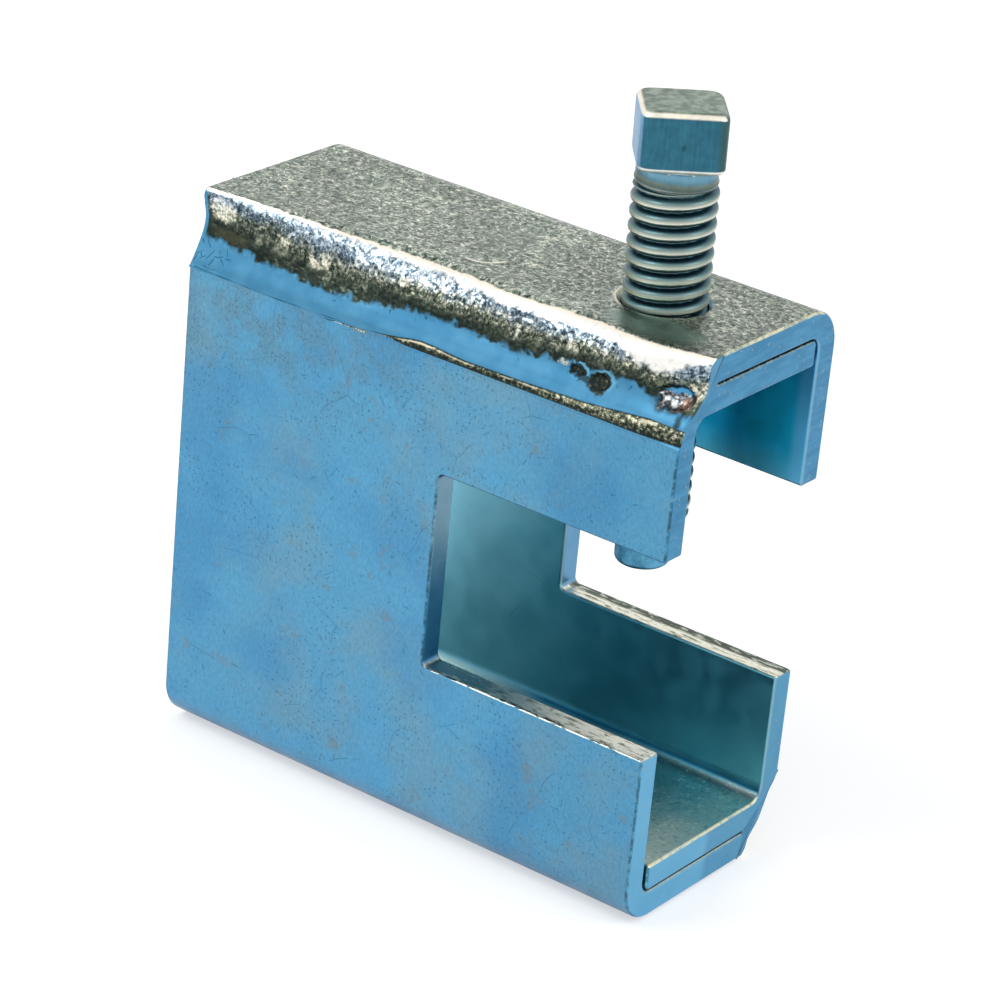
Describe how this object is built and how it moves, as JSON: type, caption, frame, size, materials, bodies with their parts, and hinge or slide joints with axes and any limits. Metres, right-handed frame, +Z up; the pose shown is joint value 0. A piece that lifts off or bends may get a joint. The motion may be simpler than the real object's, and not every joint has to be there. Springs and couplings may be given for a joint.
{
  "type": "beam clamp",
  "caption": "C-shaped beam clamp of nested pressed steel channels with weld beads along its corners and a square-head set screw through the upper arm.",
  "frame": {"origin": "middle of the underside, on the face that the clamp stands on", "axes": "+X out of the open throat, -Y towards the near side plate, +Z up along the set screw"},
  "size_m": [0.0564, 0.0248, 0.0746],
  "materials": {
    "zinc_sheet": "bright blue electro-zinc plate over pressed sheet, with fine pits and scratches",
    "weld_metal": "zinc plated weld bead, rough and hammered, with smooth bright crests",
    "zinc_screw": "zinc plated rolled thread and forged head, satin"
  },
  "bodies": {
    "clamp_body": {"near_channel": "zinc_sheet", "far_channel": "zinc_sheet", "top_weld": "weld_metal", "bottom_weld": "weld_metal"},
    "set_screw": {"set_screw": "zinc_screw"}
  },
  "joints": [
    {"name": "screw_advance", "type": "slide", "parent": "clamp_body", "child": "set_screw", "axis": [0.0244, 0, -0.9997], "range_m": [-0.0158, 0.0125]}
  ]
}
